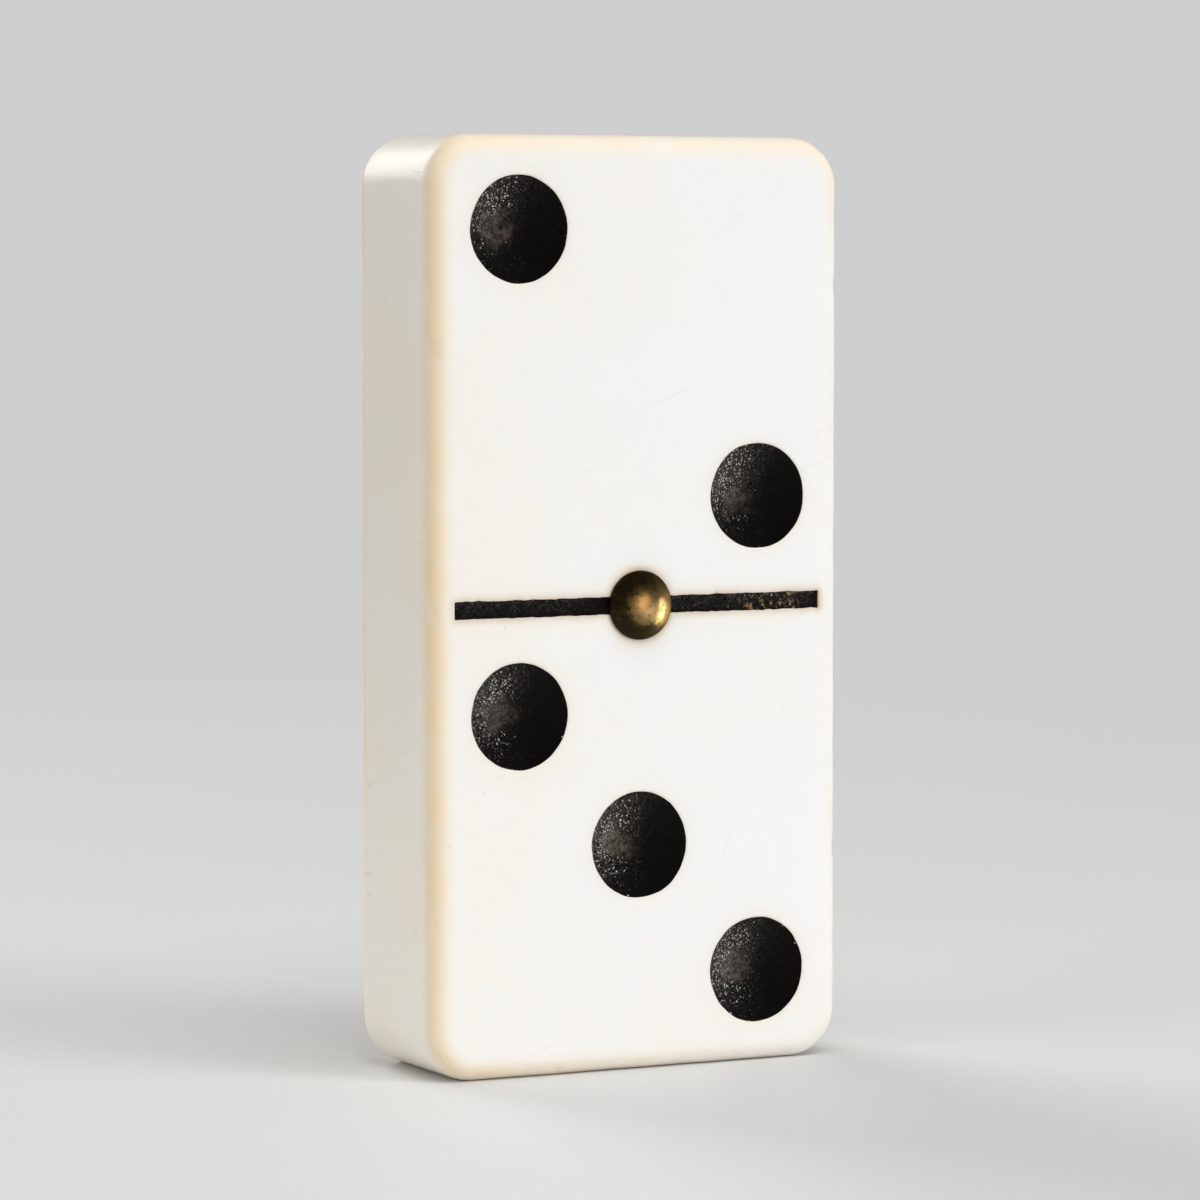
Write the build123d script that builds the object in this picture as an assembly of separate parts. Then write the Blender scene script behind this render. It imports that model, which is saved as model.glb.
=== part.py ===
from build123d import *
import os

# A domino tile, the two-three, with a brass spinner. Millimetres.
#
# One block of ivory-coloured plastic, 2 inches long, carries five spherical dimples and a milled
# divider groove, all lined with black enamel. A domed brass pin, the spinner, is pressed into a
# blind hole at the middle of the face.
#
# The tile stands on its lower end: +Z runs up its length, +X across its width and +Y through its
# thickness, from the face to the back. The origin is the centre of the lower end.

# Block
tile_length = 50.8
tile_width = 25.0
tile_thickness = 9.5
corner_radius = 2.75
edge_radius = 1.0

# Pips: dimples on a square grid in each half of the tile
pip_radius = 2.92
pip_depth = 1.1
pip_pitch = 7.25
half_centre_from_divider = 13.05
enamel_at_pip_rim = 0.05
enamel_at_pip_floor = 0.25

# Divider groove between the halves, and how far its enamel stays below the face
groove_length = 22.2
groove_width = 0.95
groove_depth = 0.6
groove_enamel_gap = 0.12

# Spinner pin: a domed head with a low upright rim, and a plain shank with a tapered point
head_radius = 1.875
head_height = 0.95
head_rim_height = 0.15
shank_radius = 1.0
shank_length = 6.0
point_length = 0.8
point_radius = 0.45

# Blind hole for the shank: the shank is a line-to-line press fit
hole_depth = 6.4
hole_cone_depth = 0.6

# Worked out from the dimensions above
face_y = -tile_thickness / 2
middle_z = tile_length / 2
upper_centre_z = middle_z + half_centre_from_divider
lower_centre_z = middle_z - half_centre_from_divider

pip_centres = {
    "upper_left": (-pip_pitch, upper_centre_z + pip_pitch),
    "upper_right": (pip_pitch, upper_centre_z - pip_pitch),
    "lower_left": (-pip_pitch, lower_centre_z + pip_pitch),
    "lower_centre": (0, lower_centre_z),
    "lower_right": (pip_pitch, lower_centre_z - pip_pitch),
}


def rounded_block():
    """The bare block: rounded corners, then every edge of the face and the back rounded."""
    outline = Rot(X=90) * RectangleRounded(tile_width, tile_length, corner_radius)
    block = extrude(outline, amount=tile_thickness / 2, both=True)
    face_and_back_edges = block.faces().filter_by(Axis.Y).edges()
    return Pos(Z=middle_z) * fillet(face_and_back_edges, edge_radius)


def sunk_ball(rim_radius, depth):
    """A ball that cuts the face in a circle of rim_radius and reaches depth below it.

    It is centred on the Y axis.
    """
    ball_radius = (rim_radius**2 + depth**2) / (2 * depth)
    return Pos(Y=face_y + depth - ball_radius) * Sphere(ball_radius)


def pip_enamel():
    """The enamel skin in one dimple: thin at the rim and pooled on the floor."""
    hollow = sunk_ball(pip_radius - enamel_at_pip_rim, pip_depth - enamel_at_pip_floor)
    return split(sunk_ball(pip_radius, pip_depth) - hollow, Plane.XZ.offset(-face_y), Keep.BOTTOM)


def groove_filling(gap):
    """The space in the divider groove, from gap below the face down to the groove's floor."""
    filling = Box(
        groove_length,
        groove_depth - gap,
        groove_width,
        align=(Align.CENTER, Align.MIN, Align.CENTER),
    )
    return Pos(Y=face_y + gap, Z=middle_z) * filling


def pin_hole():
    """The drilled blind hole, with the cone that a drill leaves at its end."""
    cone_y = face_y + hole_depth
    half_section = Polyline(
        (0, face_y),
        (shank_radius, face_y),
        (shank_radius, cone_y),
        (0, cone_y + hole_cone_depth),
        close=True,
    )
    return Pos(Z=middle_z) * revolve(make_face(half_section), Axis.Y)


def spinner_pin():
    """The turned pin, from the top of its dome to its point."""
    rim_y = face_y - head_rim_height
    dome_rise = head_height - head_rim_height
    dome_radius = (head_radius**2 + dome_rise**2) / (2 * dome_rise)
    dome = RadiusArc((head_radius, rim_y), (0, face_y - head_height), dome_radius)
    shank_end_y = face_y + shank_length
    outline = Polyline(
        (head_radius, rim_y),
        (head_radius, face_y),
        (shank_radius, face_y),
        (shank_radius, shank_end_y - point_length),
        (point_radius, shank_end_y),
        (0, shank_end_y),
        (0, face_y - head_height),
    )
    return Pos(Z=middle_z) * revolve(make_face([dome, outline]), Axis.Y)


def tile_body():
    """The block with its dimples, divider groove and pin hole cut in."""
    dimple = sunk_ball(pip_radius, pip_depth)
    dimples = [Pos(X=x, Z=z) * dimple for x, z in pip_centres.values()]
    return rounded_block() - dimples - groove_filling(gap=0) - pin_hole()


os.makedirs("parts", exist_ok=True)

nodes = {"tile_body": tile_body(), "spinner_pin": spinner_pin()}

for place, (x, z) in pip_centres.items():
    nodes[f"pip_enamel_{place}"] = Pos(X=x, Z=z) * pip_enamel()

divider_strips = (groove_filling(groove_enamel_gap) - pin_hole()).solids().sort_by(Axis.X)
nodes["divider_enamel_left"], nodes["divider_enamel_right"] = divider_strips

for name, piece in nodes.items():
    export_step(piece, f"parts/{name}.step")
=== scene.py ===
# The visual model of the domino tile: a worn ivory-coloured block, its black enamel fillings and
# its brass spinner pin, on a pale floor in soft studio light. Shapes are worked out in millimetres
# and turned into metres when a mesh is made.
import math
import random

import bmesh
import bpy
from mathutils import Matrix, Vector, noise
from mathutils.geometry import delaunay_2d_cdt


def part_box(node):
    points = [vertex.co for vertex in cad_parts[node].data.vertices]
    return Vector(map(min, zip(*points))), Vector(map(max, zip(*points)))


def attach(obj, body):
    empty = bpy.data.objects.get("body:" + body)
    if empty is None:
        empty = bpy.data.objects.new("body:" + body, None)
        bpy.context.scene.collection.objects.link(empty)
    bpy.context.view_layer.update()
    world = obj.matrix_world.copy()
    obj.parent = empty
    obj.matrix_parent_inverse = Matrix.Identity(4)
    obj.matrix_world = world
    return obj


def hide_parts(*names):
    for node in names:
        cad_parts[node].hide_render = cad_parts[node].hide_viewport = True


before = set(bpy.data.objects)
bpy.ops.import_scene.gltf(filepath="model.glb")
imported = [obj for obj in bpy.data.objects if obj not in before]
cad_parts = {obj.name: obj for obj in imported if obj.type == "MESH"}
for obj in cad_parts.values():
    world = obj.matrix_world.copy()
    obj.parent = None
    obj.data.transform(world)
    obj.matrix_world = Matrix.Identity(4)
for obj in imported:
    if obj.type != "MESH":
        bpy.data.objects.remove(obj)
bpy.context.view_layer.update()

MM = 0.001

# Sizes of the block and the pin that their boxes don't give
CORNER_RADIUS = 2.75
EDGE_RADIUS = 1.0
SHANK_RADIUS = 1.0
HOLE_DEPTH = 6.4
HOLE_CONE_DEPTH = 0.6
HEAD_RIM_HEIGHT = 0.15
POINT_LENGTH = 0.8
POINT_RADIUS = 0.45

# Pip enamel: its thickness on a dimple's floor, how far inside the dimple's rim it ends, and the
# skirt that carries its edge down into the block
ENAMEL_AT_FLOOR = 0.25
ENAMEL_INSET = 0.03
SKIRT_WIDTH = 0.02
SKIRT_DROP = 0.05

# How soft and how uneven the cuts in the face are
RIM_SOFTNESS = 0.07
PIP_WOBBLE = 0.042
GROOVE_WOBBLE = 0.035
GROOVE_CORNER_RADIUS = 0.08
GROOVE_WALL_SLOPE = 14

# Mesh spacing
FACE_SPACING = 0.28
BACK_SPACING = 0.4
OUTLINE_SPACING = 0.2
EDGE_STEPS = 10
SIDE_STEPS = 20
CUT_SPACING = 0.1
PIP_SPACING = 0.036
STRIP_SPACING = 0.045
LATHE_SEGMENTS = 160


def box_mm(node):
    """The lowest and the highest corner of a CAD node."""
    low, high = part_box(node)
    return low / MM, high / MM


tile_low, tile_high = box_mm("tile_body")
face_y, back_y = tile_low.y, tile_high.y
half_width = tile_high.x
half_length = tile_high.z / 2
middle_z = half_length

PIP_NODES = sorted(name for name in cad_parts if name.startswith("pip_enamel"))
pip_low, pip_high = box_mm(PIP_NODES[0])
pip_radius = (pip_high.x - pip_low.x) / 2
pip_depth = pip_high.y - pip_low.y

strip_low, strip_high = box_mm("divider_enamel_left")
groove_half_length = -strip_low.x
groove_half_width = (strip_high.z - strip_low.z) / 2
groove_depth = strip_high.y - face_y
groove_enamel_depth = strip_low.y - face_y

pin_low, pin_high = box_mm("spinner_pin")
head_radius = pin_high.x


def pip_centre(node):
    """Where a pip's centre is on the face, as (x, z)."""
    low, high = box_mm(node)
    return (low.x + high.x) / 2, (low.z + high.z) / 2


PIP_CENTRES = {node: pip_centre(node) for node in PIP_NODES}


# ---------------------------------------------------------------- helpers for shapes


def smoothstep(low, high, value):
    """0 below low, 1 above high, and a smooth step between them."""
    t = min(1.0, max(0.0, (value - low) / (high - low)))
    return t * t * (3 - 2 * t)


def smooth_max(a, b, softness):
    """The larger of a and b, with the crease between them rounded where they are softness apart."""
    overlap = max(softness - abs(a - b), 0.0)
    return max(a, b) + overlap**2 / (4 * softness)


def wave(x, y, z, size):
    """Smooth noise between -1 and 1, with bumps about size across."""
    return noise.noise(Vector((x, y, z)) / size)


def ball_radius(rim_radius, depth):
    """The radius of the ball that cuts a circle of rim_radius and reaches depth below it."""
    return (rim_radius**2 + depth**2) / (2 * depth)


def bowl_depth(r, rim_radius, depth):
    """How far below its rim a spherical bowl is, at r from its axis; negative past the rim."""
    ball = ball_radius(rim_radius, depth)
    if r >= rim_radius:
        return (rim_radius - r) * rim_radius / (ball - depth)
    return math.sqrt(ball**2 - r**2) - (ball - depth)


def rounded_box_distance(x, z, half_x, half_z, radius):
    """Distance outside a rounded rectangle centred at 0; negative inside."""
    past_x = abs(x) - (half_x - radius)
    past_z = abs(z) - (half_z - radius)
    outside = math.hypot(max(past_x, 0.0), max(past_z, 0.0))
    return outside + min(max(past_x, past_z), 0.0) - radius


def rounded_outline(half_x, half_z, radius, spacing):
    """Points round a rounded rectangle centred at 0, each (x, z, outward x, outward z)."""
    points = []
    arc_steps = max(3, round(radius * math.pi / 2 / spacing))
    runs = (2 * (half_x - radius), 2 * (half_z - radius)) * 2
    corners = ((1, 1), (-1, 1), (-1, -1), (1, -1))
    for quarter, (side_x, side_z) in enumerate(corners):
        centre_x = side_x * (half_x - radius)
        centre_z = side_z * (half_z - radius)
        for step in range(arc_steps + 1):
            angle = (quarter + step / arc_steps) * math.pi / 2
            out_x, out_z = math.cos(angle), math.sin(angle)
            points.append((centre_x + radius * out_x, centre_z + radius * out_z, out_x, out_z))
        x, z, out_x, out_z = points[-1]
        run_steps = max(1, round(runs[quarter] / spacing))
        for step in range(1, run_steps):
            along = step / run_steps * runs[quarter]
            points.append((x - out_z * along, z + out_x * along, out_x, out_z))
    return points


def ring(centre, radius_at, count):
    """count points round a centre, where radius_at gives the radius at an angle."""
    angles = [step / count * 2 * math.pi for step in range(count)]
    return [
        (centre[0] + radius_at(a) * math.cos(a), centre[1] + radius_at(a) * math.sin(a))
        for a in angles
    ]


def hex_grid(centre, half_x, half_z, spacing):
    """The points of a triangular grid that covers a rectangle."""
    row_height = spacing * math.sqrt(3) / 2
    rows = int(half_z / row_height)
    columns = int(half_x / spacing) + 1
    for row in range(-rows, rows + 1):
        for column in range(-columns, columns + 1):
            x = (column + row % 2 / 2) * spacing
            yield centre[0] + x, centre[1] + row * row_height


def add_sheet(mesh, outline, inner, y_at, keep=lambda x, z: True):
    """Adds a triangulated sheet inside a closed outline; y_at gives its place through the tile.

    keep says, from a triangle's middle, whether the triangle is wanted.
    """
    flat = [Vector(p) for p in outline] + [Vector(p) for p in inner]
    edge = list(range(len(outline)))
    points, _, triangles, *_ = delaunay_2d_cdt(flat, [], [edge], 1, 1e-7)
    verts = [mesh.verts.new((p.x, y_at(p.x, p.y), p.y)) for p in points]
    for triangle in triangles:
        middle = sum((points[i] for i in triangle), Vector((0, 0))) / 3
        if keep(middle.x, middle.y):
            mesh.faces.new([verts[i] for i in triangle])


def add_strip(mesh, rings):
    """Adds the band of faces between closed rings that have the same number of points."""
    rows = [[mesh.verts.new(p) for p in points] for points in rings]
    for row, following in zip(rows, rows[1:]):
        for i in range(len(row)):
            j = (i + 1) % len(row)
            mesh.faces.new((row[i], row[j], following[j], following[i]))


def weld(mesh):
    """Joins the parts of a mesh where their points meet, and drops points that no face uses."""
    loose = [v for v in mesh.verts if not v.link_faces]
    bmesh.ops.delete(mesh, geom=loose, context="VERTS")
    bmesh.ops.remove_doubles(mesh, verts=mesh.verts, dist=1e-4)
    bmesh.ops.recalc_face_normals(mesh, faces=mesh.faces)


def new_piece(name, node, mesh, material):
    """Makes the object for a finished mesh, in place of a CAD node."""
    data = bpy.data.meshes.new(name)
    mesh.to_mesh(data)
    mesh.free()
    data.transform(Matrix.Scale(MM, 4))
    data.shade_smooth()
    data.materials.append(material)
    piece = bpy.data.objects.new(name, data)
    bpy.context.scene.collection.objects.link(piece)
    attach(piece, "root")
    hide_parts(node)
    return piece


def paint(piece, name, value_at):
    """Stores a number on each point of a piece for its material to read."""
    layer = piece.data.attributes.new(name, "FLOAT", "POINT")
    for vertex, stored in zip(piece.data.vertices, layer.data):
        stored.value = value_at(vertex.co / MM)


# ---------------------------------------------------------------- the cuts in the face


def pip_edge(node, angle):
    """The radius of a dimple's rim at an angle: nearly round, as drilled by hand."""
    turn = Vector((math.cos(angle), math.sin(angle), PIP_NODES.index(node) * 3.1))
    return pip_radius + PIP_WOBBLE * noise.fractal(turn * 1.6, 1.0, 2.0, 3)


def around_pip(node, x, z):
    """Distance from a pip's axis, and the dimple's rim radius in that direction."""
    centre_x, centre_z = PIP_CENTRES[node]
    r = math.hypot(x - centre_x, z - centre_z)
    return r, pip_edge(node, math.atan2(z - centre_z, x - centre_x))


def dimple_depth(node, x, z):
    """How deep a dimple is cut below the face."""
    r, edge = around_pip(node, x, z)
    bowl = bowl_depth(r * pip_radius / edge, pip_radius, pip_depth)
    return smooth_max(0.0, bowl, RIM_SOFTNESS)


def groove_half_z(x, up):
    """Half the groove's ragged width at x, on its upper side (up is 1) or its lower side (-1)."""
    raggedness = noise.fractal(Vector((x * 1.8, up * 7, 0.5)), 0.8, 2.2, 4)
    return groove_half_width + GROOVE_WOBBLE * raggedness


def groove_distance(x, z):
    """Distance outside the divider groove's outline; negative inside it."""
    half_z = groove_half_z(x, math.copysign(1, z - middle_z))
    return rounded_box_distance(x, z - middle_z, groove_half_length, half_z, GROOVE_CORNER_RADIUS)


def groove_cut_depth(x, z):
    """How deep the divider groove is cut below the face."""
    wall = -groove_distance(x, z) * GROOVE_WALL_SLOPE
    return min(smooth_max(0.0, wall, RIM_SOFTNESS), groove_depth)


def cut_depth(x, z):
    """How deep any cut is below the face."""
    nearest = min(PIP_NODES, key=lambda node: around_pip(node, x, z)[0])
    return max(dimple_depth(nearest, x, z), groove_cut_depth(x, z))


# ---------------------------------------------------------------- the block

# The small knocks along the edges, and how much the edges and the flats vary from wear
DING_COUNT = 26
DING_SEED = 5
DING_RADII = (0.25, 0.8)
DING_DEPTHS = (0.02, 0.09)
WORN_EDGE = 0.035
SURFACE_WAVINESS = 0.006

# How near the tile's outside is to count as its edge, and where that fades out
EDGE_BAND = 0.4
EDGE_BAND_END = 1.4

# How far a warm tint reaches from the pin, the divider and the pips, in millimetres, and how strong
# it is beside the divider and the pips. By the pin and the divider it is dirt and painted shade
# together
PIN_STAIN_AND_SHADE_REACH = 0.45
GROOVE_STAIN_AND_SHADE_REACH = 0.5
PIP_STAIN_REACH = 0.6
GROOVE_STAIN_AND_SHADE = 0.85
PIP_STAIN = 0.42


def make_dings():
    """Small knocks along the front and back edges, each (place, radius, depth)."""
    chance = random.Random(DING_SEED)
    outline = rounded_outline(half_width, half_length, CORNER_RADIUS, OUTLINE_SPACING)
    corner_inset = EDGE_RADIUS * (1 - math.sqrt(0.5))
    dings = []
    for number in range(DING_COUNT):
        x, z, out_x, out_z = chance.choice(outline)
        y = face_y + corner_inset if number % 2 else back_y - corner_inset
        place = Vector((x - corner_inset * out_x, y, z - corner_inset * out_z + middle_z))
        dings.append((place, chance.uniform(*DING_RADII), chance.uniform(*DING_DEPTHS)))
    return dings


def edge_nearness(point):
    """1 on the rounded edges of the face and the back, fading to 0 on the flats."""
    inset = -rounded_box_distance(
        point.x, point.z - middle_z, half_width, half_length, CORNER_RADIUS
    )
    depth = min(point.y - face_y, back_y - point.y)
    return 1 - smoothstep(EDGE_BAND, EDGE_BAND_END, math.hypot(max(inset, 0), max(depth, 0)))


def yellowing_and_shade_at(point):
    """How yellowed the rounded edges are, with painted shade added: most on the left, then the top.
    """
    left = 0.5 - 0.5 * point.x / half_width
    up = smoothstep(0.6, 1.0, (point.z - middle_z) / half_length)
    behind = (point.y - face_y) / (back_y - face_y)
    return edge_nearness(point) * max(0.2 + 0.8 * left**2, 0.6 * up) * (1 - 0.4 * behind)


def cream_share_at(point):
    """How creamy the plastic is: more to the left, downwards, and off the face."""
    left = 0.5 - 0.5 * point.x / half_width
    down = 0.5 - 0.5 * (point.z - middle_z) / half_length
    off_face = smoothstep(0.3, 2.0, point.y - face_y)
    return 0.3 * left**2 + 0.1 * down + 0.4 * off_face


def grime_and_shade_at(point):
    """Where the block gets a warm tint: dirt and painted shade round the pin and along the divider,
    weaker by each pip.
    """
    if point.y > face_y + EDGE_RADIUS:
        return 0.0
    x, z = point.x, point.z
    from_pin = max(math.hypot(x, z - middle_z) - head_radius, 0)
    from_groove = max(groove_distance(x, z), 0)
    from_pip = min(max(r - edge, 0) for r, edge in (around_pip(node, x, z) for node in PIP_NODES))
    return max(
        math.exp(-from_pin / PIN_STAIN_AND_SHADE_REACH),
        GROOVE_STAIN_AND_SHADE * math.exp(-from_groove / GROOVE_STAIN_AND_SHADE_REACH),
        PIP_STAIN * math.exp(-from_pip / PIP_STAIN_REACH),
    )


def wear_depth(point, dings):
    """How much material handling has taken off the block at a point of its surface."""
    worn = SURFACE_WAVINESS * wave(*point, 7.0)
    near = edge_nearness(point)
    if near > 0:
        worn += near * WORN_EDGE * (0.6 + 0.8 * wave(*point, 2.6))
        worn += sum(
            depth * math.exp(-2 * ((point - place).length / radius) ** 2)
            for place, radius, depth in dings
            if (point - place).length < 2.5 * radius
        )
    return worn


def block_outline_ring(outline, inset, y):
    """The block's outline moved in by inset, at one place through its thickness."""
    return [
        (x - inset * out_x, y, z - inset * out_z + middle_z) for x, z, out_x, out_z in outline
    ]


def block_profile():
    """How the outline moves in along the rounded edges, from face to back: (inset, y) pairs."""
    arc = [step / EDGE_STEPS * math.pi / 2 for step in range(EDGE_STEPS + 1)]
    insets = [(EDGE_RADIUS * (1 - math.sin(a)), EDGE_RADIUS * (1 - math.cos(a))) for a in arc]
    side_run = back_y - face_y - 2 * EDGE_RADIUS
    front = [(inset, face_y + depth) for inset, depth in insets]
    side = [
        (0.0, face_y + EDGE_RADIUS + side_run * step / SIDE_STEPS) for step in range(1, SIDE_STEPS)
    ]
    back = [(inset, back_y - depth) for inset, depth in reversed(insets)]
    return front + side + back


# Rings of points along each cut: how far outside its rim they are, in millimetres, and for the
# dimples' floors their radius as a share of the pip's. Round the pin's hole there is one ring, and
# a gap keeps the other points clear of it
PIP_RING_OFFSETS = (0.12, 0.06, 0.025, 0.0, -0.03, -0.07, -0.15)
PIP_RING_SHARES = (0.8, 0.6, 0.4, 0.2)
GROOVE_RING_OFFSETS = (0.06, 0.02, 0.0, -0.02, -0.045)
HOLE_GAP = 0.06
HOLE_SEGMENTS = 64


def face_points():
    """The inner points of the face: rings along every cut, and a grid on the flat between."""
    points = []
    for node, centre in PIP_CENTRES.items():
        count = round(2 * math.pi * pip_radius / CUT_SPACING)
        for offset in PIP_RING_OFFSETS:
            points += ring(centre, lambda a: pip_edge(node, a) + offset, count)
        for share in PIP_RING_SHARES:
            points += ring(centre, lambda a: pip_radius * share, round(count * share / 2))
        points.append(centre)
    for offset in GROOVE_RING_OFFSETS:
        outline = rounded_outline(
            groove_half_length + offset,
            groove_half_width + offset,
            GROOVE_CORNER_RADIUS + offset,
            CUT_SPACING,
        )
        points += [(x, z + middle_z) for x, z, _, _ in outline]
    grid = hex_grid((0, middle_z), half_width, half_length, FACE_SPACING)
    points += [p for p in grid if is_open_face(*p)]
    points = [p for p in points if math.hypot(p[0], p[1] - middle_z) > SHANK_RADIUS + HOLE_GAP]
    return points + ring((0, middle_z), lambda a: SHANK_RADIUS, HOLE_SEGMENTS)


def is_open_face(x, z):
    """True on the flat of the face, well clear of its edges and of every cut."""
    gap = FACE_SPACING * 0.6
    flat_x, flat_z = half_width - EDGE_RADIUS, half_length - EDGE_RADIUS
    flat_radius = CORNER_RADIUS - EDGE_RADIUS
    if rounded_box_distance(x, z - middle_z, flat_x, flat_z, flat_radius) > -gap:
        return False
    if groove_distance(x, z) < gap:
        return False
    return all(r > edge + gap for r, edge in (around_pip(node, x, z) for node in PIP_NODES))


def back_points():
    """The inner points of the back: a plain grid."""
    gap = BACK_SPACING * 0.6
    flat_x, flat_z = half_width - EDGE_RADIUS, half_length - EDGE_RADIUS
    flat_radius = CORNER_RADIUS - EDGE_RADIUS
    for x, z in hex_grid((0, middle_z), half_width, half_length, BACK_SPACING):
        if rounded_box_distance(x, z - middle_z, flat_x, flat_z, flat_radius) < -gap:
            yield x, z


def drill_pin_hole(mesh):
    """Draws the open ring in the face down into a blind hole with a cone at its end."""
    mouth = [edge for edge in mesh.edges if edge.is_boundary]
    drawn = bmesh.ops.extrude_edge_only(mesh, edges=mouth)["geom"]
    for vert in (item for item in drawn if isinstance(item, bmesh.types.BMVert)):
        vert.co.y = face_y + HOLE_DEPTH
    tip = mesh.verts.new((0, face_y + HOLE_DEPTH + HOLE_CONE_DEPTH, middle_z))
    for edge in [item for item in drawn if isinstance(item, bmesh.types.BMEdge)]:
        if edge.is_boundary:
            mesh.faces.new((*edge.verts, tip))
    bmesh.ops.recalc_face_normals(mesh, faces=mesh.faces)


def make_block(material):
    """The ivory block: rounded edges, worn surface, and every cut in its face."""
    mesh = bmesh.new()
    outline = rounded_outline(half_width, half_length, CORNER_RADIUS, OUTLINE_SPACING)
    rings = [block_outline_ring(outline, inset, y) for inset, y in block_profile()]
    add_strip(mesh, rings)
    flat_outline = [(x, z) for x, _, z in rings[0]]
    add_sheet(
        mesh,
        flat_outline,
        face_points(),
        lambda x, z: face_y + cut_depth(x, z),
        keep=lambda x, z: math.hypot(x, z - middle_z) > SHANK_RADIUS * 0.998,
    )
    add_sheet(mesh, flat_outline, back_points(), lambda x, z: back_y)
    weld(mesh)
    drill_pin_hole(mesh)

    dings = make_dings()
    mesh.normal_update()
    for vert in mesh.verts:
        cut = vert.co.y < face_y + pip_depth and cut_depth(vert.co.x, vert.co.z) > 0
        in_hole = math.hypot(vert.co.x, vert.co.z - middle_z) < SHANK_RADIUS + 0.1
        if not cut and not in_hole:
            vert.co -= vert.normal * wear_depth(vert.co, dings)

    block = new_piece("worn_tile_block", "tile_body", mesh, material)
    paint(block, "yellowing_and_shade", yellowing_and_shade_at)
    paint(block, "cream_share", cream_share_at)
    paint(block, "grime_and_shade", grime_and_shade_at)
    return block


# ---------------------------------------------------------------- the enamel

# The grains and pits in the enamel: how far apart and how high they are. Each one's height is a
# random number from -1 to 1 plus the lift, and above the limit the spot stays flat
GRAIN_SIZE = 0.13
GRAIN_HEIGHT = 0.03
GRAIN_LIFT = 0.4
GRAIN_LIMIT = 0.68
UNEVEN_HEIGHT = 0.02

# Where a dimple's enamel pooled smooth and carries a painted brownish sheen: its size, and its
# place from the pip's middle
POOL_AND_SHEEN_RADIUS = 1.25
POOL_AND_SHEEN_SHIFT = Vector((-1.05, 0.1))

# The divider's enamel: how smooth it pooled and how much painted sheen it carries, how much it
# glints, and how far it climbs the walls
STRIP_POOL_AND_SHEEN = 0.2
STRIP_GLINT = 0.25
MENISCUS_HEIGHT = 0.07


def grain(x, z):
    """Height of the grains and pits that speckle set enamel, from about -0.6 to 1.1."""
    distances, sites = noise.voronoi(Vector((x, 0.0, z)) / GRAIN_SIZE)
    # The factor is large enough to give neighbouring grains numbers of their own
    cell = noise.cell(sites[0] * 5.7)
    if cell > GRAIN_LIMIT:
        return 0.0
    return (GRAIN_LIFT + cell) * (1 - smoothstep(0.1, 0.62, distances[0]))


def pool_and_sheen_share(node, x, z):
    """1 where a dimple's enamel pooled smooth and carries a painted brownish sheen, left of its
    middle, and 0 up its sides.
    """
    r = (Vector((x, z)) - Vector(PIP_CENTRES[node]) - POOL_AND_SHEEN_SHIFT).length
    return 1 - smoothstep(0.1, 1.4, r / POOL_AND_SHEEN_RADIUS + 0.5 * wave(x, 3.0, z, 0.8))


def glint_share(node, x):
    """How much the grains of a dimple's enamel glint, and how many painted glint specks it carries:
    most on its left, hardly on its right.
    """
    across = (x - PIP_CENTRES[node][0]) / pip_radius
    return 1 - 0.92 * smoothstep(-0.35, 0.45, across)


def pip_enamel_depth(node, x, z):
    """How far below the face the open surface of a dimple's enamel is."""
    r, edge = around_pip(node, x, z)
    rim = edge - ENAMEL_INSET
    floor_depth = pip_depth - ENAMEL_AT_FLOOR - ENAMEL_INSET
    hollow = bowl_depth(min(r / rim, 1) * pip_radius, pip_radius, floor_depth)
    roughness = 1 - 0.8 * pool_and_sheen_share(node, x, z)
    lift = GRAIN_HEIGHT * roughness * grain(x, z) + UNEVEN_HEIGHT * wave(x, 1.0, z, 0.9)
    return ENAMEL_INSET + hollow - smoothstep(0.0, 0.1, rim - r) * lift


def make_pip_enamel(node, material):
    """The enamel skin in one dimple: a speckled open surface over a plain underside."""
    centre = PIP_CENTRES[node]
    count = round(2 * math.pi * pip_radius / PIP_SPACING)
    rim = ring(centre, lambda a: pip_edge(node, a) - ENAMEL_INSET, count)
    skirt = ring(centre, lambda a: pip_edge(node, a) - ENAMEL_INSET + SKIRT_WIDTH, count)

    def inner(spacing):
        for x, z in hex_grid(centre, pip_radius, pip_radius, spacing):
            r, edge = around_pip(node, x, z)
            if r < edge - ENAMEL_INSET - spacing * 0.6:
                yield x, z

    def open_y(x, z):
        return face_y + pip_enamel_depth(node, x, z)

    def under_y(x, z):
        r, edge = around_pip(node, x, z)
        skirt_depth = ENAMEL_INSET + SKIRT_DROP
        if r > edge - ENAMEL_INSET:
            return face_y + skirt_depth
        return face_y + max(dimple_depth(node, x, z), skirt_depth)

    mesh = bmesh.new()
    add_sheet(mesh, rim, inner(PIP_SPACING), open_y)
    add_strip(
        mesh,
        [[(x, open_y(x, z), z) for x, z in rim], [(x, under_y(x, z), z) for x, z in skirt]],
    )
    add_sheet(mesh, skirt, inner(PIP_SPACING * 6), under_y)
    weld(mesh)
    piece = new_piece(f"{node}_skin", node, mesh, material)
    paint(piece, "pool_and_sheen", lambda p: pool_and_sheen_share(node, p.x, p.z))
    paint(piece, "glinting", lambda p: glint_share(node, p.x))
    return piece


def strip_depth(x, z):
    """How far below the face the divider's enamel is: it climbs the groove's walls a little."""
    across = abs(z - middle_z) / groove_half_z(x, math.copysign(1, z - middle_z))
    climb = MENISCUS_HEIGHT * min(across, 1) ** 4
    uneven = UNEVEN_HEIGHT * wave(x, 2.0, z, 0.7)
    inside = smoothstep(0.0, 0.12, 1 - across)
    return groove_enamel_depth - climb - inside * (GRAIN_HEIGHT * 0.8 * grain(x, z) + uneven)


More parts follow.
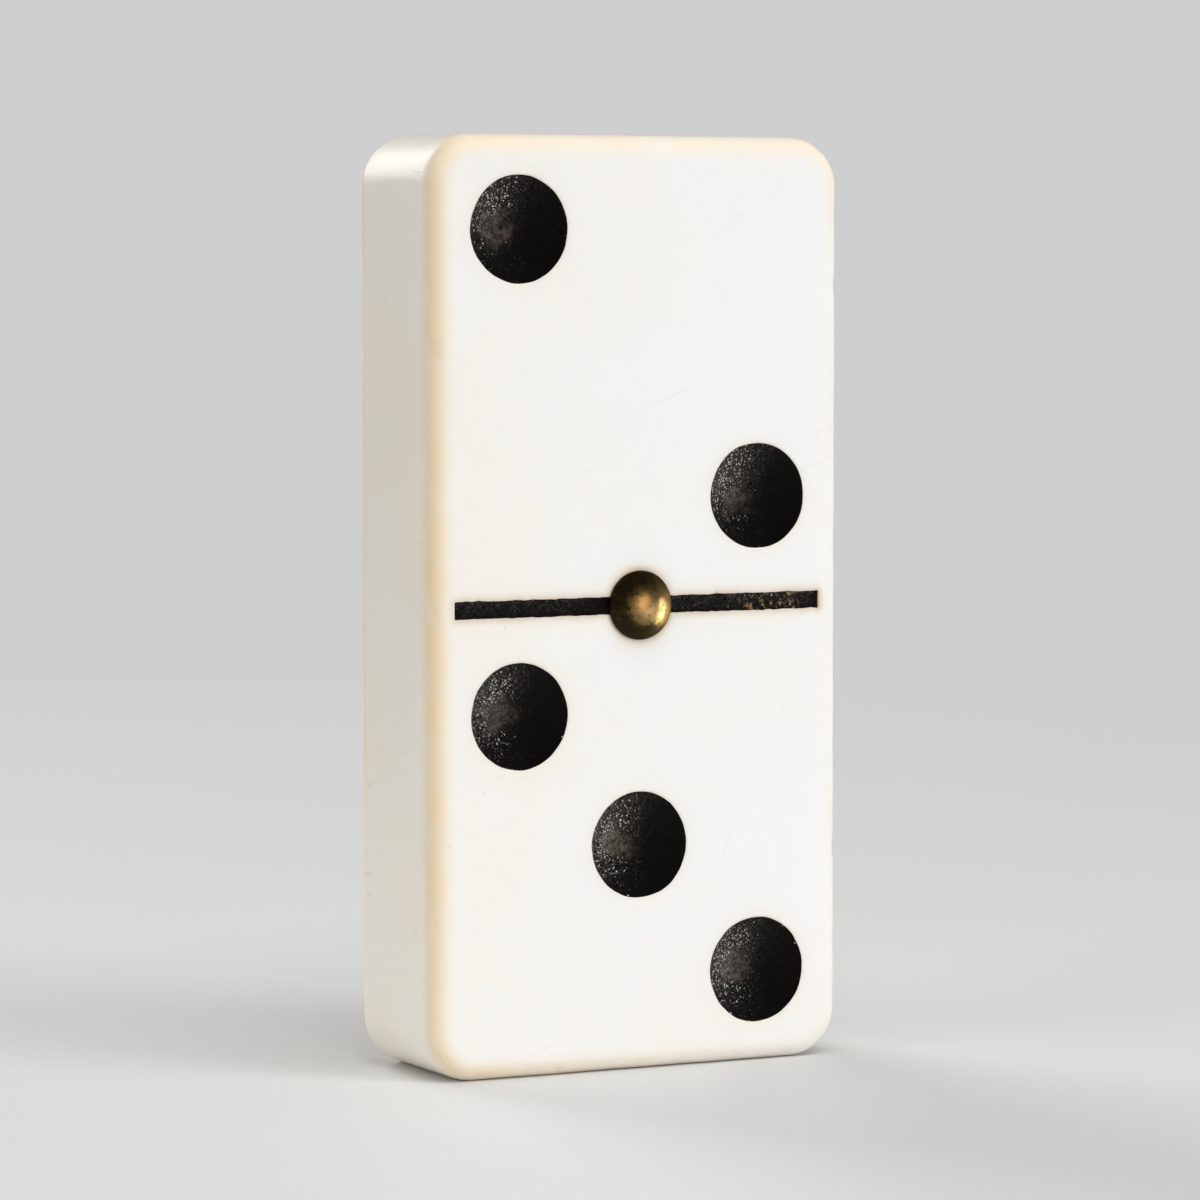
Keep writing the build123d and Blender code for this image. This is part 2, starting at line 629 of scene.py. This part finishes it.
def strip_section(x):
    """The closed cross-section of the divider's enamel at x: its open top, then its underside."""
    lower_z = middle_z - groove_half_z(x, -1)
    upper_z = middle_z + groove_half_z(x, 1)
    steps = round(2 * groove_half_width / STRIP_SPACING)
    across = [lower_z + (upper_z - lower_z) * step / steps for step in range(steps + 1)]
    top = [(x, face_y + strip_depth(x, z), z) for z in across]
    return top + [(x, face_y + groove_depth, upper_z), (x, face_y + groove_depth, lower_z)]


def strip_rub(along):
    """How far the divider's enamel is worn to gold: in one patch near its right end."""
    return smoothstep(0.5, 0.7, along) * (1 - smoothstep(0.84, 0.92, along))


def make_divider_enamel(node, side, material):
    """The enamel strip on one side of the pin: side is -1 for the left and 1 for the right."""
    inner_x = SHANK_RADIUS + 0.02
    run = groove_half_length - inner_x
    steps = round(run / STRIP_SPACING)
    sections = [strip_section(side * (inner_x + run * step / steps)) for step in range(steps + 1)]
    mesh = bmesh.new()
    add_strip(mesh, sections)
    for section in (sections[0], sections[-1]):
        mesh.faces.new([mesh.verts.new(point) for point in section])
    weld(mesh)
    piece = new_piece(f"{node}_strip", node, mesh, material)
    paint(piece, "pool_and_sheen", lambda p: STRIP_POOL_AND_SHEEN)
    paint(piece, "glinting", lambda p: STRIP_GLINT)
    paint(piece, "rubbed_and_highlight", lambda p: strip_rub(p.x / groove_half_length))
    return piece


# ---------------------------------------------------------------- the spinner pin

DOME_STEPS = 48
FACET_SIZE = 0.75
FACET_DEPTH = 0.014


def pin_profile():
    """The pin's outline from the edge of its dome's top to its point: (radius, y) pairs."""
    rim_y = face_y - HEAD_RIM_HEIGHT
    ball = ball_radius(head_radius, rim_y - pin_low.y)
    rim_break = 0.05
    half_angle = math.asin((head_radius - rim_break) / ball)
    angles = [half_angle * step / DOME_STEPS for step in range(1, DOME_STEPS + 1)]
    dome = [(ball * math.sin(a), pin_low.y + ball * (1 - math.cos(a))) for a in angles]
    rim = [
        (head_radius - rim_break * 0.3, rim_y + rim_break * 0.1),
        (head_radius, rim_y + rim_break),
        (head_radius, face_y - rim_break * 0.6),
        (head_radius - rim_break * 0.4, face_y),
    ]
    shank = [
        (SHANK_RADIUS, face_y),
        (SHANK_RADIUS, pin_high.y - POINT_LENGTH),
        (POINT_RADIUS, pin_high.y),
    ]
    return dome + rim + shank


def dome_rub_and_highlight(point):
    """How bright the brass is: kept bright by handling at the crown, with a painted highlight on
    the dome's right that leaves its left darker, and less towards the rim.
    """
    from_crown = math.hypot(point.x, point.z - middle_z) / head_radius
    from_side = math.hypot(point.x - head_radius * 0.6, point.z - middle_z) / head_radius
    return max(1 - smoothstep(0.1, 0.75, from_crown), 0.6 * (1 - smoothstep(0.2, 0.9, from_side)))


def make_pin(material):
    """The turned pin: a dome that handling has flattened in small facets, and its shank."""
    mesh = bmesh.new()
    rings = [
        [(x, y, z) for x, z in ring((0, middle_z), lambda a: radius, LATHE_SEGMENTS)]
        for radius, y in pin_profile()
    ]
    add_strip(mesh, rings)
    for end_ring, y in ((rings[0], pin_low.y), (rings[-1], pin_high.y)):
        tip = mesh.verts.new((0, y, middle_z))
        row = [mesh.verts.new(point) for point in end_ring]
        for i, vert in enumerate(row):
            mesh.faces.new((vert, row[i - 1], tip))
    weld(mesh)
    mesh.normal_update()
    for vert in mesh.verts:
        x, y, z = vert.co
        if y < face_y - HEAD_RIM_HEIGHT:
            facets = noise.voronoi(Vector((x, 0, z)) / FACET_SIZE)[0][0]
            vert.co -= vert.normal * FACET_DEPTH * (facets + 0.8 * wave(x, y, z, 0.5))
    piece = new_piece("spinner_pin_turned", "spinner_pin", mesh, material)
    paint(piece, "rubbed_and_highlight", dome_rub_and_highlight)
    return piece


# ---------------------------------------------------------------- helpers for materials


class Finish:
    """One material, with short calls that add its nodes. Its coordinates are in millimetres."""

    def __init__(self, name):
        self.material = bpy.data.materials.new(name)
        self.material.use_nodes = True
        self.nodes = self.material.node_tree.nodes
        self.links = self.material.node_tree.links
        self.surface = self.nodes["Principled BSDF"]
        coordinates = self.nodes.new("ShaderNodeTexCoord").outputs["Object"]
        self.point = self.scaled(coordinates, (1 / MM,) * 3)

    def feed(self, socket, value):
        """Sets an input to a plain value or to another node's output."""
        if isinstance(value, bpy.types.NodeSocket):
            self.links.new(value, socket)
        else:
            socket.default_value = value

    def vector_step(self, operation, *vectors):
        """One operation on vectors."""
        node = self.nodes.new("ShaderNodeVectorMath")
        node.operation = operation
        for socket, vector in zip(node.inputs, vectors):
            self.feed(socket, vector)
        return node.outputs[0]

    def scaled(self, vector, factors):
        """A vector with each part multiplied."""
        return self.vector_step("MULTIPLY", vector, factors)

    def turned(self, vector, angle):
        """A vector turned about the Y axis."""
        node = self.nodes.new("ShaderNodeVectorRotate")
        node.rotation_type = "Y_AXIS"
        self.feed(node.inputs["Vector"], vector)
        self.feed(node.inputs["Angle"], angle)
        return node.outputs[0]

    def cloud(self, size, detail=3.0, roughness=0.5, stretch=(1, 1, 1), angle=0.0):
        """Soft noise from 0 to 1, with features about size across before they are stretched."""
        node = self.nodes.new("ShaderNodeTexNoise")
        spot = self.turned(self.point, angle) if angle else self.point
        self.feed(node.inputs["Vector"], self.scaled(spot, tuple(1 / part for part in stretch)))
        self.feed(node.inputs["Scale"], 1 / size)
        self.feed(node.inputs["Detail"], detail)
        self.feed(node.inputs["Roughness"], roughness)
        return node.outputs["Fac"]

    def cells(self, size):
        """Distance from the nearest of many scattered points, in units of size."""
        node = self.nodes.new("ShaderNodeTexVoronoi")
        self.feed(node.inputs["Vector"], self.point)
        self.feed(node.inputs["Scale"], 1 / size)
        return node.outputs["Distance"]

    def painted(self, name):
        """A number that is stored on the piece's points."""
        node = self.nodes.new("ShaderNodeAttribute")
        node.attribute_name = name
        return node.outputs["Fac"]

    def step(self, value, low, high, to_low=0.0, to_high=1.0):
        """Maps low..high smoothly to to_low..to_high, and stops at both ends."""
        node = self.nodes.new("ShaderNodeMapRange")
        node.interpolation_type = "SMOOTHSTEP"
        for name, number in (
            ("Value", value),
            ("From Min", low),
            ("From Max", high),
            ("To Min", to_low),
            ("To Max", to_high),
        ):
            self.feed(node.inputs[name], number)
        return node.outputs["Result"]

    def sum(self, *values):
        """Values added up."""
        return self.reckon("ADD", *values)

    def product(self, *values):
        """Values multiplied together."""
        return self.reckon("MULTIPLY", *values)

    def reckon(self, operation, first, *others):
        """One operation of arithmetic carried along a list of values."""
        total = first
        for value in others:
            node = self.nodes.new("ShaderNodeMath")
            node.operation = operation
            self.feed(node.inputs[0], total)
            self.feed(node.inputs[1], value)
            total = node.outputs[0]
        return total

    def blend(self, share, base, other):
        """The base colour, with a share of it replaced by the other colour."""
        node = self.nodes.new("ShaderNodeMix")
        node.data_type = "RGBA"
        self.feed(node.inputs["Factor"], share)
        self.feed(node.inputs[6], base)
        self.feed(node.inputs[7], other)
        return node.outputs[2]

    def bump(self, height, depth_mm):
        """Feeds the surface a normal from a height of 0 to 1 that stands for depth_mm."""
        node = self.nodes.new("ShaderNodeBump")
        self.feed(node.inputs["Distance"], depth_mm * MM)
        self.feed(node.inputs["Height"], height)
        self.set(Normal=node.outputs["Normal"])

    def flakes(self, size, lean):
        """Tilts the surface's normal a different way in each small cell, by up to lean.

        Gives back a random number from 0 to 1 for each cell.
        """
        cell = self.nodes.new("ShaderNodeTexVoronoi")
        self.feed(cell.inputs["Vector"], self.point)
        self.feed(cell.inputs["Scale"], 1 / size)
        centred = self.vector_step("SUBTRACT", cell.outputs["Color"], (0.5, 0.5, 0.5))
        tilt = self.vector_step("MULTIPLY", centred, lean)
        level = self.surface.inputs["Normal"].links[0].from_socket
        self.set(Normal=self.vector_step("NORMALIZE", self.vector_step("ADD", level, tilt)))
        parts = self.nodes.new("ShaderNodeSeparateColor")
        self.feed(parts.inputs["Color"], cell.outputs["Color"])
        return parts.outputs["Green"]

    def fade_out(self, start, end):
        """Makes the surface clear beyond a distance from the origin."""
        distance = self.nodes.new("ShaderNodeVectorMath")
        distance.operation = "LENGTH"
        self.feed(distance.inputs[0], self.point)
        clear = self.nodes.new("ShaderNodeBsdfTransparent").outputs["BSDF"]
        mixed = self.nodes.new("ShaderNodeMixShader")
        self.feed(mixed.inputs[0], self.step(distance.outputs["Value"], start, end))
        self.feed(mixed.inputs[1], self.surface.outputs["BSDF"])
        self.feed(mixed.inputs[2], clear)
        self.feed(self.nodes["Material Output"].inputs["Surface"], mixed.outputs["Shader"])

    def set(self, **inputs):
        """Sets inputs of the surface; an underscore stands for a space."""
        for name, value in inputs.items():
            self.feed(self.surface.inputs[name.replace("_", " ")], value)


def scratches(finish, angle):
    """A few fine straight scratches that run at an angle across the face."""
    lines = finish.cloud(0.22, detail=1, stretch=(40, 10, 1), angle=angle)
    patches = finish.cloud(5.0, detail=1, angle=angle)
    return finish.product(finish.step(lines, 0.72, 0.78), finish.step(patches, 0.4, 0.7))


# ---------------------------------------------------------------- the materials


def ivory_finish():
    """Ivory-coloured plastic: softly mottled, yellowed at its edges with painted shade on the left,
    warm-tinted by dirt and painted shade round the pin and the divider, finely scratched.
    """
    finish = Finish("worn_ivory_plastic")
    white = (0.885, 0.888, 0.893, 1)
    cream = (0.893, 0.835, 0.718, 1)
    peach = (0.9, 0.64, 0.31, 1)
    tan = (0.6, 0.42, 0.24, 1)
    brown = (0.3, 0.18, 0.09, 1)

    mottle = finish.step(finish.cloud(9.0, detail=2), 0.35, 0.75, 0.0, 0.25)
    colour = finish.blend(finish.sum(finish.painted("cream_share"), mottle), white, cream)
    clouds = finish.cloud(2.2, detail=3)
    patchy = finish.step(clouds, 0.3, 0.7, 0.55, 1.0)
    yellow_and_shade_share = finish.step(clouds, 0.3, 0.7, 0.5, 0.66)
    yellowing_and_shade = finish.product(finish.painted("yellowing_and_shade"), yellow_and_shade_share)
    # Peach on the rounded edges: yellowed plastic, and painted shade that darkens the left edge
    # most
    colour = finish.blend(yellowing_and_shade, colour, peach)
    # Warm tint by the cuts: dirt, with painted shade where the pin and the groove meet the face
    grime_and_shade = finish.painted("grime_and_shade")
    colour = finish.blend(finish.step(grime_and_shade, 0.0, 0.5, 0.0, 0.5), colour, cream)
    stain_and_shade = finish.product(finish.step(grime_and_shade, 0.3, 1.0), patchy)
    colour = finish.blend(finish.product(stain_and_shade, 0.75), colour, tan)
    # Brown hard against the pin's head and the groove: painted contact shade and dirt
    close_dirt_and_shade = finish.product(finish.step(grime_and_shade, 0.8, 1.0), patchy)
    colour = finish.blend(finish.product(close_dirt_and_shade, 0.7), colour, brown)
    specks = finish.product(
        finish.step(finish.cells(1.1), 0.06, 0.03), finish.step(finish.cloud(6.0), 0.55, 0.62)
    )
    colour = finish.blend(finish.product(specks, 0.4), colour, brown)
    lines = finish.sum(*(scratches(finish, angle) for angle in (0.35, 1.25, 2.3)))
    scratch_share = finish.step(finish.painted("cream_share"), 0.2, 0.6, 0.12, 0.17)
    colour = finish.blend(finish.product(lines, scratch_share), colour, tan)

    smudges = finish.step(finish.cloud(6.0, detail=3), 0.35, 0.7, 0.29, 0.36)
    grit = finish.cloud(0.12, detail=3)
    height = finish.sum(finish.product(grit, 0.2), finish.product(lines, -0.7), specks)
    finish.bump(height, 0.006)
    finish.set(
        Base_Color=colour,
        Roughness=finish.sum(smudges, finish.product(lines, 0.15), finish.product(grime_and_shade, 0.15)),
        Subsurface_Weight=0.25,
        Subsurface_Radius=(1.0, 0.8, 0.58),
        Subsurface_Scale=MM,
        Specular_IOR_Level=0.5,
    )
    return finish.material


def enamel_finish():
    """Black enamel: glinting grains on its slopes, painted glint specks on the dimples' left, and a
    painted brownish sheen where it pooled smooth.
    """
    finish = Finish("speckled_black_enamel")
    black = (0.003, 0.0028, 0.0026, 1)
    sheen_film = (0.105, 0.08, 0.066, 1)
    grit = (0.22, 0.19, 0.165, 1)
    rubbed_gold = (0.36, 0.23, 0.11, 1)

    pool_and_sheen = finish.painted("pool_and_sheen")
    glinting = finish.painted("glinting")
    drift = finish.step(finish.cloud(0.4, detail=4, roughness=0.7), 0.35, 0.7)
    # A painted brownish sheen where the enamel pooled smooth
    colour = finish.blend(finish.product(pool_and_sheen, pool_and_sheen, drift, 0.9), black, sheen_film)
    # Pale specks: dust, and painted glints that gather on the dimples' left
    dust_and_glints = finish.product(
        finish.step(finish.cells(0.16), 0.28, 0.14),
        finish.step(finish.cloud(0.4, detail=2), 0.58, 0.66),
    )
    colour = finish.blend(finish.product(dust_and_glints, glinting, 0.5), colour, grit)
    flecks = finish.product(
        finish.painted("rubbed_and_highlight"),
        finish.step(finish.cloud(0.28, detail=4, roughness=0.7), 0.53, 0.64),
    )
    colour = finish.blend(flecks, colour, rubbed_gold)
    finish.bump(finish.sum(finish.cloud(0.06, detail=3), finish.product(flecks, -0.5)), 0.008)
    chance = finish.flakes(size=0.075, lean=finish.step(pool_and_sheen, 0.0, 1.0, 0.55, 0.2))
    polish = finish.product(
        finish.step(chance, 0.5, 0.7),
        finish.step(pool_and_sheen, 1.0, 0.0, 0.3, 1.0),
        glinting,
    )
    finish.set(
        Base_Color=colour,
        Roughness=finish.step(polish, 0.0, 1.0, 0.5, 0.13),
        Specular_IOR_Level=finish.step(polish, 0.0, 1.0, 0.1, 0.42),
        Specular_Tint=(1.0, 0.88, 0.72, 1),
    )
    return finish.material


def brass_finish():
    """Handled brass: bright where fingers and tables rub it and where a highlight is painted on the
    dome's right, dark brown towards its rim.
    """
    finish = Finish("aged_brass")
    bright = (0.68, 0.44, 0.2, 1)
    dull = (0.22, 0.155, 0.06, 1)
    patina = (0.02, 0.013, 0.005, 1)

    clouds = finish.cloud(0.6, detail=5, roughness=0.65)
    spots = finish.step(finish.cloud(0.2, detail=4, roughness=0.7), 0.5, 0.72)
    # Handling wear, with the painted highlight on the dome's right in it
    worn = finish.sum(
        finish.painted("rubbed_and_highlight"), finish.product(clouds, 0.8), finish.product(spots, -0.4), -0.46
    )
    colour = finish.blend(finish.step(worn, -0.1, 0.45), patina, dull)
    colour = finish.blend(finish.step(worn, 0.4, 1.0), colour, bright)
    lines = finish.step(finish.cloud(0.05, detail=2, stretch=(14, 1, 1), angle=0.6), 0.62, 0.72)
    grit = finish.cloud(0.08, detail=3)
    finish.bump(finish.sum(finish.product(grit, 0.4), finish.product(lines, -0.3)), 0.008)
    finish.set(
        Base_Color=colour,
        Metallic=finish.step(worn, -0.1, 0.3, 0.75, 1.0),
        Roughness=finish.step(worn, 0.0, 0.8, 0.46, 0.28),
        Specular_Tint=(0.68, 0.52, 0.32, 1),
    )
    return finish.material


# ---------------------------------------------------------------- the studio

# The floor: how pale it is, and in metres its radius and where it fades out
PALE = 0.72
FLOOR_RADIUS = 6.0
FLOOR_FADE_START = 0.04
FLOOR_FADE_END = 0.3
AIM = Vector((0, 0, middle_z)) * MM


def around(azimuth, elevation, distance):
    """A place round the tile: azimuth 0 is in front of its face and 90 to its right, degrees."""
    a, e = math.radians(azimuth), math.radians(elevation)
    away = Vector((math.sin(a) * math.cos(e), -math.cos(a) * math.cos(e), math.sin(e)))
    return AIM + away * distance


def aim(thing, place):
    """Puts a lamp or a camera at a place, pointing at the tile's middle."""
    thing.location = place
    thing.rotation_euler = (AIM - place).to_track_quat("-Z", "Y").to_euler()


def make_lamp(
    name, azimuth, elevation, distance, size, power, colour=(1, 1, 1), matt=True, gloss=True
):
    """A soft rectangular lamp that the camera doesn't see; size is (width, height) in metres.

    matt and gloss say whether it adds to the surfaces' own shading and to their reflections.
    """
    data = bpy.data.lights.new(name, "AREA")
    data.shape = "RECTANGLE"
    data.size, data.size_y = size
    data.energy = power
    data.color = colour
    lamp = bpy.data.objects.new(name, data)
    lamp.visible_camera = False
    lamp.visible_diffuse = matt
    lamp.visible_glossy = gloss
    bpy.context.scene.collection.objects.link(lamp)
    aim(lamp, around(azimuth, elevation, distance))
    return lamp


def limit_lamp(lamp, role, pieces):
    """Limits what a lamp lights, when role is receiver, or what shades it, when role is blocker."""
    group = bpy.data.collections.new(f"{lamp.name}_{role}")
    for piece in pieces:
        group.objects.link(piece)
    setattr(lamp.light_linking, f"{role}_collection", group)


def make_floor():
    """A wide pale floor that fades into the backdrop's colour far from the tile."""
    mesh = bmesh.new()
    bmesh.ops.create_circle(mesh, cap_ends=True, radius=FLOOR_RADIUS, segments=96)
    data = bpy.data.meshes.new("studio_floor")
    mesh.to_mesh(data)
    mesh.free()
    finish = Finish("pale_floor")
    tone = finish.step(finish.cloud(9.0, detail=4), 0.2, 0.8)
    pale = (PALE, PALE, PALE * 0.985, 1)
    finish.set(
        Base_Color=finish.blend(finish.product(tone, 0.04), pale, (0.6, 0.6, 0.58, 1)),
        Roughness=0.6,
        Specular_IOR_Level=0.25,
    )
    finish.fade_out(FLOOR_FADE_START / MM, FLOOR_FADE_END / MM)
    data.materials.append(finish.material)
    floor = bpy.data.objects.new("studio_floor", data)
    bpy.context.scene.collection.objects.link(floor)


def make_world(backdrop, ambient, reflected):
    """Plain surroundings: how bright the camera, matt surfaces and reflections see them."""
    world = bpy.data.worlds.new("studio")
    world.use_nodes = True
    nodes, links = world.node_tree.nodes, world.node_tree.links
    ray = nodes.new("ShaderNodeLightPath").outputs
    level = None
    for kind, brightness in (("Is Glossy Ray", reflected), ("Is Camera Ray", backdrop)):
        mix = nodes.new("ShaderNodeMix")
        links.new(ray[kind], mix.inputs["Factor"])
        mix.inputs["A"].default_value = ambient
        mix.inputs["B"].default_value = brightness
        if level is not None:
            links.new(level, mix.inputs["A"])
        level = mix.outputs["Result"]
    links.new(level, nodes["Background"].inputs["Strength"])
    nodes["Background"].inputs["Color"].default_value = (1, 1, 1, 1)
    bpy.context.scene.world = world


def make_camera(azimuth, elevation, distance, picture_height):
    """A long lens that frames picture_height metres at the tile."""
    data = bpy.data.cameras.new("camera")
    data.lens = data.sensor_width * distance / picture_height
    data.clip_start = 0.01
    camera = bpy.data.objects.new("camera", data)
    bpy.context.scene.collection.objects.link(camera)
    aim(camera, around(azimuth, elevation, distance))
    bpy.context.scene.camera = camera


# ---------------------------------------------------------------- the scene

ivory = ivory_finish()
enamel = enamel_finish()
brass = brass_finish()

block = make_block(ivory)
pin = make_pin(brass)
fillings = [
    *(make_pip_enamel(pip_node, enamel) for pip_node in PIP_NODES),
    make_divider_enamel("divider_enamel_left", -1, enamel),
    make_divider_enamel("divider_enamel_right", 1, enamel),
]

make_floor()
make_world(backdrop=0.62, ambient=0.28, reflected=0.09)

# Each lamp's name is followed by its azimuth and elevation in degrees and its distance in metres
make_lamp("key", 38, 14, 0.6, size=(0.26, 0.34), power=1.87, gloss=False)
make_lamp("top", 0, 62, 0.7, size=(0.5, 0.5), power=2.4, gloss=False)
make_lamp("left", -80, 16, 0.6, size=(0.3, 0.3), power=0.8, gloss=False)
make_lamp("back", 190, 25, 0.6, size=(0.3, 0.3), power=1.9, gloss=False)
make_lamp("rim", 200, 25, 0.6, size=(0.3, 0.3), power=0.7, matt=False)
# A warm, broad reflection in the middle of the pin's dome
glow = make_lamp(
    "glow", 7, 5, 0.45, size=(0.42, 0.42), power=0.54, colour=(1, 0.76, 0.54), matt=False
)
limit_lamp(glow, "receiver", [pin])
# A faint shine on the block's right-hand edges
sheen = make_lamp("sheen", 105, 5, 0.6, size=(0.3, 0.4), power=0.25, matt=False)
limit_lamp(sheen, "receiver", [block])
# A tall lamp low on the right, for the glints in the enamel and on the pin. It is below the
# floor's level, so only the tile itself may shade it
glint = make_lamp("glint", 74, -18, 0.45, size=(0.13, 0.32), power=1.9, matt=False)
limit_lamp(glint, "receiver", [pin, *fillings])
limit_lamp(glint, "blocker", [block, pin, *fillings])

make_camera(azimuth=-27, elevation=3.7, distance=0.286, picture_height=0.066)
bpy.context.scene.view_settings.view_transform = "Standard"
